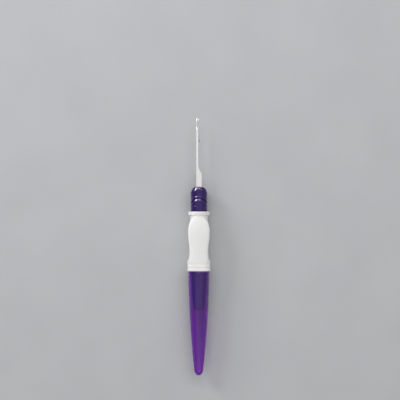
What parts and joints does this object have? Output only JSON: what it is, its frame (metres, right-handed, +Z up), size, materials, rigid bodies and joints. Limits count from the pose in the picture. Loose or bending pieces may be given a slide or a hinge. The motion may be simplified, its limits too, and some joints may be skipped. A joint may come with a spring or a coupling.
{
  "type": "latch hook tool",
  "caption": "Fine latch needle for mending knitting, with a swinging latch, a shaped grip behind an arched bead collar, and a see-through cap posted on the rear end.",
  "frame": {"origin": "on the level of the grip's flat underside, under the middle of the tool's box", "axes": "+Y along the tool towards the hook, +Z up from the flat underside of the grip, +X towards the side that the hook and the latch open to"},
  "size_m": [0.0102, 0.114, 0.0094],
  "materials": {
    "needle_steel": "bright polished nickel-plated steel",
    "latch_steel": "plain steel, darker than the needle",
    "rivet_steel": "plain ground steel",
    "core_violet": "smooth dark violet moulded plastic",
    "collar_violet": "deep violet moulded plastic, glossy",
    "grip_white": "satin white moulded plastic",
    "cap_purple": "clear purple moulded plastic, glossy"
  },
  "bodies": {
    "handle": {"handle_core": "core_violet", "front_collar": "collar_violet", "grip_sleeve": "grip_white", "latch_needle": "needle_steel", "latch_rivet": "rivet_steel"},
    "latch": {"latch": "latch_steel"},
    "cap": {"cap": "cap_purple"}
  },
  "joints": [
    {"name": "latch_pivot", "type": "hinge", "parent": "handle", "child": "latch", "pos_m": [-0.00072, 0.05132, 0.00465], "axis": [0, 0, 1], "range_deg": [0, 158]},
    {"name": "cap_pull", "type": "slide", "parent": "handle", "child": "cap", "axis": [0, -1, 0], "range_m": [0, 0.024]}
  ]
}
